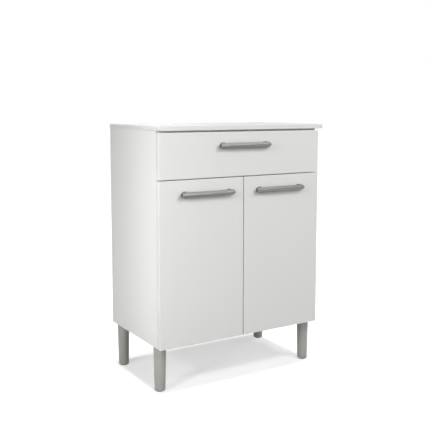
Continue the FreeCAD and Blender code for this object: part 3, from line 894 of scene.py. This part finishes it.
@dataclass
class Board:
    """A laminated board that stands in for a packed one of the same size."""
    name: str
    node: str
    body: str
    finishes: Finishes
    thin_axis: Axis
    band: Band = Band.NONE
    rounding: float = 0.8 * MM
    band_inset: float = 0.4 * MM
    seam_half: float = 0.15 * MM
    seam_depth: float = 0.12 * MM
    bores: tuple[Bore, ...] = ()
    slot: Slot = Slot.LAMINATE

    def build(self) -> bpy.types.Object:
        """Model the board and let it stand for its node.

        Returns:
            The board.
        """
        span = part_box(self.node)
        cutters = self._recesses(span)
        for bore in self.bores:
            cutters += bore.cutters(span)
        bench = Bench.block(self.name, span)
        bench.edges(lambda start, end: True).bevel(self.rounding)
        if self.band is Band.ALL_ROUND:
            self._seam_frames(bench, span)
        elif self.band is Band.FRONT:
            self._seam_lines(bench, span)
        piece = bench.take_away(cutters).done()
        self.finishes.stand_in(piece, self.slot, self.body, self.node)
        return piece

    def _recesses(self, span: Span) -> list[bpy.types.Object]:
        """Cutters for further recesses: none in a plain board."""
        return []

    def _seam_frames(self, bench: Bench, span: Span) -> None:
        """Groove both large faces all round, where the band ends.

        Args:
            bench: The board on the bench.
            span: Its box.
        """
        axis = self.thin_axis.value
        for corner in span:
            bench.faces(lambda middle, normal, place=corner[axis]: near(middle[axis], place)
                        and abs(normal[axis]) > SQUARE)
            bench.inset(self.band_inset)
            bench.inset(self.seam_half, -self.seam_depth)
            bench.inset(self.seam_half, self.seam_depth)

    def _seam_lines(self, bench: Bench, span: Span) -> None:
        """Groove both large faces along the front edge, where the band ends.

        Args:
            bench: The board on the bench.
            span: Its box.
        """
        axis = self.thin_axis.value
        seam = span[0].y + self.rounding + self.band_inset
        for step in (-self.seam_half, 0.0, self.seam_half):
            bench.split(Vector((0.0, seam + step, 0.0)), Vector((0.0, 1.0, 0.0)))
        for corner, inwards in zip(span, (1.0, -1.0)):
            bench.points(lambda place, face=corner[axis]: near(place.y, seam) and near(place[axis], face))
            shift = Vector((0.0, 0.0, 0.0))
            shift[axis] = inwards * self.seam_depth
            bench.slide(shift)


@dataclass
class Door(Board):
    """A door with the round recesses for its hinge cups."""
    cups: str = ""
    cups_side: int = -1
    cup_radius: float = 17.4 * MM
    cup_rim: float = 1.0 * MM
    cup_room: float = 0.1 * MM
    cup_sides: int = 64

    def _recesses(self, span: Span) -> list[bpy.types.Object]:
        """Cutters for the cups' recesses.

        Args:
            span: The door's box.

        Returns:
            The cutters.
        """
        made = []
        for low, high in solids_of(self.cups):
            inner_edge = high.x if self.cups_side < 0 else low.x
            centre_x = inner_edge + self.cups_side * (self.cup_radius + self.cup_rim)
            floor = low.y - self.cup_room
            base = Vector((centre_x, floor, (low.z + high.z) / 2))
            radius = self.cup_radius + self.cup_room
            bench = Bench.round_bar("cutter", base, high.y - floor, (radius, radius), Axis.Y,
                                    self.cup_sides)
            made.append(bench.rough_done())
        return made


@dataclass
class Boards:
    """The boards that show: worktop, side panels, shelf, back panel, drawer front and doors."""
    finishes: Finishes
    edge: float = 1.0 * MM
    back_edge: float = 0.3 * MM
    pin_bore: float = 2.55 * MM
    dowel_bore: float = 4.05 * MM
    thick_screw_bore: float = 2.05 * MM
    thin_screw_bore: float = 1.75 * MM
    nail_bore: float = 0.85 * MM
    nail_head: float = 1.85 * MM

    def build(self) -> None:
        """Model every board in turn."""
        thick, thin = self.thick_screw_bore, self.thin_screw_bore
        side_bores = (Bore("cam_bolts", Axis.X, self.pin_bore), Bore("dowels", Axis.X, self.dowel_bore),
                      Bore("shelf_pins", Axis.X, self.pin_bore), Bore("side_panel_screws", Axis.X, thin),
                      Bore("back_panel_nails", Axis.Y, self.nail_bore))
        boards = [
            Board("worktop_board", "worktop", "carcass", self.finishes, Axis.Z, Band.ALL_ROUND,
                  rounding=self.edge, bores=(Bore("worktop_screws", Axis.Z, thick),)),
            *(Board(f"{side}_side_board", f"{side}_side_panel", "carcass", self.finishes, Axis.X,
                    Band.FRONT, bores=side_bores) for side in ("left", "right")),
            Board("shelf_board", "shelf", "carcass", self.finishes, Axis.Z, Band.FRONT),
            Board("back_board", "back_panel", "carcass", self.finishes, Axis.Y, rounding=self.back_edge,
                  bores=(Bore("back_panel_nails", Axis.Y, self.nail_head),), slot=Slot.HARDBOARD),
            Board("drawer_front_board", "drawer_front", "drawer", self.finishes, Axis.Y, Band.ALL_ROUND,
                  rounding=self.edge, bores=(Bore("drawer_handle_screws", Axis.Y, thick),
                                             Bore("drawer_front_screws", Axis.Y, thin))),
        ]
        for side, sign in (("left", -1), ("right", 1)):
            boards.append(Door(f"{side}_door_board", f"{side}_door", f"{side}_door", self.finishes, Axis.Y,
                               Band.ALL_ROUND, rounding=self.edge,
                               bores=(Bore(f"{side}_door_handle_screws", Axis.Y, thick),
                                      Bore(f"{side}_hinge_cup_screws", Axis.Y, thin)),
                               cups=f"{side}_hinge_cups", cups_side=sign))
        for board in boards:
            board.build()


# ---------------------------------------- handles
@dataclass
class Handles:
    """Three bar handles, each on two round posts: one is modelled, then copied."""
    finishes: Finishes
    corner_radius: float = 7.5 * MM
    corner_steps: int = 9
    shoulder: float = 2.5 * MM
    nose_half: float = 2.4 * MM
    nose_depth: float = 1.1 * MM
    nose_steps: int = 5
    nose_end: float = 1.2 * MM
    edge: float = 0.5 * MM
    post_edge: float = 0.5 * MM
    post_sides: int = 56
    screw_bore: float = 2.05 * MM
    bodies: tuple[str, ...] = ("drawer", "left_door", "right_door")

    def build(self) -> None:
        """Model the drawer's handle and copy it to the doors."""
        bar, posts = self._bar(), self._posts()
        place = midpoint(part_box("drawer_handle_bar"))
        for body in self.bodies:
            node = f"{body}_handle_bar"
            shift = midpoint(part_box(node)) - place
            for master, kind, base in ((bar, "bar", node), (posts, "posts", f"{body}_handle_posts")):
                piece = copy_of(master, f"{body}_pull_{kind}", shift)
                self.finishes.stand_in(piece, Slot.HANDLE, body, base)
        for master in (bar, posts):
            bpy.data.objects.remove(master)

    def _bar(self) -> bpy.types.Object:
        """A bar with rounded ends, whose top and bottom slope to a narrow round nose.

        Returns:
            The drawer's bar.
        """
        low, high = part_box("drawer_handle_bar")
        cutters = Bore("drawer_handle_screws", Axis.Y, self.screw_bore).cutters((low, high))
        centre, half = midpoint((low, high)), (high - low) / 2
        shoulder_y = high.y - self.shoulder
        bench = Bench.block("bar", (Vector((low.x, shoulder_y, low.z)), high))
        bench.edges(lambda start, end: near(start.x, end.x) and near(start.z, end.z))
        bench.bevel(self.corner_radius, self.corner_steps)
        bench.faces(lambda middle, normal: normal.y < -SQUARE)
        last = Vector((half.x, shoulder_y, half.z))
        for step in self._nose(half.x, low.y):
            bench.extrude(Vector((0.0, step.y - last.y, 0.0)))
            bench.resize((step.x / last.x, 1.0, step.z / last.z), Vector((centre.x, step.y, centre.z)))
            last = step
        bench.edges(lambda start, end: near(start.y, end.y)
                    and (near(start.y, high.y) or near(start.y, shoulder_y)))
        bench.bevel(self.edge)
        return bench.take_away(cutters).done()

    def _nose(self, half_length: float, ridge: float) -> list[Vector]:
        """Half length, place along Y and half height of each section from the slopes' end to the ridge.

        Args:
            half_length: Half the bar's length.
            ridge: The front of the bar, along Y.

        Returns:
            The sections, on an arc through the ridge.
        """
        radius = (self.nose_half ** 2 + self.nose_depth ** 2) / (2 * self.nose_depth)
        opening = math.asin(self.nose_half / radius)
        sections = []
        for step in range(self.nose_steps):
            angle = opening * (1 - step / (self.nose_steps - 0.5))
            inwards = self.nose_end * (1 - math.sin(angle) / math.sin(opening))
            sections.append(Vector((half_length - inwards, ridge + radius * (1 - math.cos(angle)),
                                    radius * math.sin(angle))))
        return sections

    def _posts(self) -> bpy.types.Object:
        """Two round posts with a bore for their screws.

        Returns:
            The drawer's posts, joined.
        """
        posts = []
        for span in solids_of("drawer_handle_posts"):
            low, high = span
            cutters = Bore("drawer_handle_screws", Axis.Y, self.screw_bore).cutters(span)
            radius = (high.z - low.z) / 2
            base = Vector(((low.x + high.x) / 2, low.y, (low.z + high.z) / 2))
            bench = Bench.round_bar("posts", base, high.y - low.y, (radius, radius), Axis.Y,
                                    self.post_sides)
            bench.edges(lambda start, end: near(start.y, end.y)).bevel(self.post_edge)
            posts.append(bench.take_away(cutters).done())
        return joined(posts)


# ---------------------------------------- legs
@dataclass
class Legs:
    """Four tapered legs with rounded feet, and the glides under them."""
    finishes: Finishes
    foot_share: float = 17.2 / 20.2
    foot_rounding: float = 3.0 * MM
    foot_steps: int = 6
    top_rounding: float = 0.5 * MM
    bolt_bore: float = 4.05 * MM
    glide_rounding: float = 0.6 * MM
    stud_radius: float = 2.5 * MM
    stud_room: float = 0.05 * MM
    leg_sides: int = 96
    glide_sides: int = 48
    glide_height: float = 2.0 * MM
    places: tuple[str, ...] = ("front_left", "front_right", "back_left", "back_right")

    def build(self) -> None:
        """Model one leg and one glide, and copy them to the four corners."""
        first = self.places[0]
        leg, start = self._leg(f"leg_{first}"), midpoint(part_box(f"leg_{first}"))
        for place in self.places:
            node = f"leg_{place}"
            piece = copy_of(leg, f"tapered_leg_{place}", midpoint(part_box(node)) - start)
            self.finishes.stand_in(piece, Slot.LEG, "carcass", node)
        bpy.data.objects.remove(leg)
        spans = solids_of("foot_glides")
        glide, start = self._glide(spans[0]), midpoint(spans[0])
        pieces = [copy_of(glide, "leg_glides", midpoint(span) - start) for span in spans]
        bpy.data.objects.remove(glide)
        self.finishes.stand_in(joined(pieces), Slot.GLIDE, "carcass", "foot_glides")

    def _leg(self, node: str) -> bpy.types.Object:
        """A taper with a rounded foot, bored for its bolt and its glide's stud.

        Args:
            node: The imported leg.

        Returns:
            The leg.
        """
        low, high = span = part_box(node)
        cutters = Bore("leg_bolts", Axis.Z, self.bolt_bore).cutters(span)
        cutters += Bore("foot_glides", Axis.Z, self.stud_radius + self.stud_room).cutters(span)
        top_radius = (high.x - low.x) / 2
        foot_radius = top_radius * self.foot_share
        middle = midpoint((low, high))
        bench = Bench.round_bar("leg", Vector((middle.x, middle.y, low.z)), high.z - low.z,
                                (foot_radius, top_radius), Axis.Z, self.leg_sides)
        bench.edges(lambda start, end: near(start.z, low.z) and near(end.z, low.z))
        bench.bevel(self.foot_rounding, self.foot_steps)
        bench.edges(lambda start, end: near(start.z, high.z) and near(end.z, high.z))
        bench.bevel(self.top_rounding)
        return bench.take_away(cutters).done()

    def _glide(self, span: Span) -> bpy.types.Object:
        """A round glide with its stud.

        Args:
            span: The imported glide's box.

        Returns:
            The glide.
        """
        low, high = span
        radius = (high.x - low.x) / 2
        middle = midpoint(span)
        bench = Bench.round_bar("glide", Vector((middle.x, middle.y, low.z)), self.glide_height,
                                (radius, radius), Axis.Z, self.glide_sides)
        bench.edges(lambda start, end: near(start.z, low.z) and near(end.z, low.z))
        bench.bevel(self.glide_rounding)
        bench.faces(lambda place, normal: normal.z > SQUARE)
        bench.inset(radius - self.stud_radius)
        bench.extrude(Vector((0.0, 0.0, high.z - low.z - self.glide_height)))
        return bench.done()


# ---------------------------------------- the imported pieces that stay
@dataclass
class PackedPieces:
    """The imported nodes, each dressed in its slot's finish and its sharp edges eased."""
    finishes: Finishes
    ease: float = 0.25 * MM
    ease_steps: int = 2
    ease_by_slot: dict[Slot, float] = field(default_factory=lambda: {Slot.LAMINATE: 0.5 * MM})
    crease_deg: float = 40.0

    def dress(self) -> None:
        """Dress every node from the record's list of slots."""
        for part in frame["record"]["subparts"]:
            node, slot = frame["nodes"][part["node"]], Slot(part["material_slot"])
            if node.hide_render:
                continue
            self.finishes.dress(node, slot, part["node"])
            self._ease(node, self.ease_by_slot.get(slot, self.ease))
            log.info("dressed %s in %s", part["node"], slot.value)

    def _ease(self, node: bpy.types.Object, width: float) -> None:
        """Ease a node's sharp edges with modifiers, its mesh left as it is.

        Args:
            node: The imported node.
            width: The width of the eased edge.
        """
        weld = node.modifiers.new("weld", "WELD")
        weld.merge_threshold = TOUCHING
        bevel = node.modifiers.new("ease", "BEVEL")
        bevel.width = width
        bevel.segments = self.ease_steps
        bevel.limit_method = "ANGLE"
        bevel.angle_limit = math.radians(self.crease_deg)
        bevel.use_clamp_overlap = True
        bevel.harden_normals = True


# ---------------------------------------- studio
@dataclass
class Lamp:
    """One soft area lamp."""
    name: str
    place: tuple[float, float, float]
    aim: tuple[float, float, float]
    size: tuple[float, float]
    power: float
    spread_deg: float = 180.0

    def hang(self) -> None:
        """Make the lamp, turned to its aim."""
        data = bpy.data.lights.new(self.name, "AREA")
        data.shape = "RECTANGLE"
        data.size, data.size_y = self.size
        data.energy = self.power
        data.spread = math.radians(self.spread_deg)
        lamp = bpy.data.objects.new(self.name, data)
        bpy.context.scene.collection.objects.link(lamp)
        lamp.location = self.place
        lamp.rotation_euler = (Vector(self.aim) - lamp.location).to_track_quat("-Z", "Y").to_euler()


@dataclass
class Studio:
    """White floor and surroundings, soft lamps and the camera."""
    floor_half: float = 30.0
    floor_bounce: float = 0.12
    floor_seen: float = 0.59
    floor_lift: float = 0.455
    horizon: Colour = (0.247, 0.243, 0.234)
    zenith: Colour = (0.09, 0.09, 0.09)
    white: Colour = (1.0, 1.0, 1.0)
    sky_band: tuple[float, float] = (0.3, 0.9)
    ceiling_light: float = 2.8
    ceiling_angle_deg: float = 12.0
    lamps: tuple[Lamp, ...] = (
        Lamp("key_left", (-3.70, -1.45, 2.48), (0.0, 0.0, 0.45), (0.5, 0.5), 47.0),
        Lamp("key_front", (1.30, -2.17, 3.00), (0.0, 0.0, 0.45), (0.4, 0.4), 33.0),
        Lamp("overhead", (1.00, -0.30, 2.45), (0.0, -0.19, 0.75), (1.1, 1.1), 6.4),
        Lamp("front_fill", (0.10, -3.30, 2.70), (0.0, 0.0, 0.45), (2.6, 2.6), 62.0),
        Lamp("left_fill", (-3.20, -0.30, 0.70), (0.0, 0.0, 0.45), (1.6, 1.2), 10.0),
        Lamp("side_strip", (-0.95, -0.42, 0.62), (-0.315, -0.12, 0.47), (0.12, 0.9), 0.55, 55.0),
        Lamp("right_fill", (3.40, 0.25, 1.20), (0.0, 0.0, 0.45), (2.0, 1.6), 34.0),
        Lamp("back_fill", (0.90, 3.00, 1.60), (0.0, 0.2, 0.45), (1.4, 1.4), 22.0),
    )
    lens_mm: float = 59.77
    sensor_mm: float = 36.0
    shift_y: float = -0.08
    camera_place: tuple[float, float, float] = (-1.2842, -2.0715, 0.8828)
    yaw_deg: float = 31.550
    pitch_deg: float = 5.730

    def build(self) -> None:
        """Make the floor, the surroundings, the lamps and the camera."""
        floor = self._floor()
        self._world()
        for lamp in self.lamps:
            lamp.hang()
        self._ceiling(floor)
        self._camera()
        bpy.context.scene.view_settings.view_transform = "Standard"

    def _floor(self) -> bpy.types.Object:
        """A wide floor that keeps the object's shadow and meets the white surroundings.

        Returns:
            The floor.
        """
        bpy.ops.mesh.primitive_plane_add(size=2 * self.floor_half)
        floor = bpy.context.active_object
        floor.name = "floor"
        material = bpy.data.materials.new("floor")
        material.use_nodes = True
        tree = Tree(material.node_tree)
        seen = tree.seen()
        tone = seen * (self.floor_seen - self.floor_bounce) + self.floor_bounce
        diffuse = tree.node("ShaderNodeBsdfDiffuse", {}, {"Color": tone})
        glow = tree.node("ShaderNodeEmission", {}, {"Strength": seen * self.floor_lift})
        both = tree.node("ShaderNodeAddShader", {}, {0: diffuse.outputs[0], 1: glow.outputs[0]})
        tree.node("ShaderNodeOutputMaterial", {}, {"Surface": both.outputs[0]})
        floor.data.materials.append(material)
        return floor

    def _world(self) -> None:
        """Even light from all round, seen as plain white."""
        world = bpy.data.worlds.new("surroundings")
        bpy.context.scene.world = world
        world.use_nodes = True
        tree = Tree(world.node_tree)
        direction = tree.node("ShaderNodeTexCoord").outputs["Generated"]
        up = tree.node("ShaderNodeSeparateXYZ", {}, {0: direction}).outputs["Z"]
        low, high = self.sky_band
        height = tree.node("ShaderNodeMapRange", {"interpolation_type": "SMOOTHSTEP"},
                           {"Value": up, "From Min": low, "From Max": high})
        sky = tree.blend(height.outputs[0], self.horizon, self.zenith)
        tone = tree.blend(tree.seen(), sky, self.white)
        light = tree.node("ShaderNodeBackground", {}, {"Color": tone})
        tree.node("ShaderNodeOutputWorld", {}, {"Surface": light.outputs[0]})

    def _ceiling(self, floor: bpy.types.Object) -> None:
        """Light straight down on the floor alone, which draws the cabinet's outline on it.

        Args:
            floor: The floor.
        """
        data = bpy.data.lights.new("ceiling", "SUN")
        data.energy = self.ceiling_light
        data.angle = math.radians(self.ceiling_angle_deg)
        ceiling = bpy.data.objects.new("ceiling", data)
        bpy.context.scene.collection.objects.link(ceiling)
        floor_alone = bpy.data.collections.new("floor_alone")
        floor_alone.objects.link(floor)
        ceiling.light_linking.receiver_collection = floor_alone

    def _camera(self) -> None:
        """The camera at the photograph's place, angle and framing."""
        data = bpy.data.cameras.new("camera")
        data.sensor_width = self.sensor_mm
        data.lens = self.lens_mm
        data.shift_y = self.shift_y
        camera = bpy.data.objects.new("camera", data)
        bpy.context.scene.collection.objects.link(camera)
        camera.location = self.camera_place
        camera.rotation_euler = (math.radians(90.0 - self.pitch_deg), 0.0, -math.radians(self.yaw_deg))
        bpy.context.scene.camera = camera


def main() -> None:
    """Build the looks in order."""
    logging.basicConfig(level=logging.INFO, format="%(name)s: %(message)s")
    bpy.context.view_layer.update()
    bpy.ops.object.select_all(action="DESELECT")
    Studio().build()
    finishes = Finishes().build()
    Boards(finishes).build()
    Handles(finishes).build()
    Legs(finishes).build()
    PackedPieces(finishes).dress()


if __name__ == "__main__":
    main()
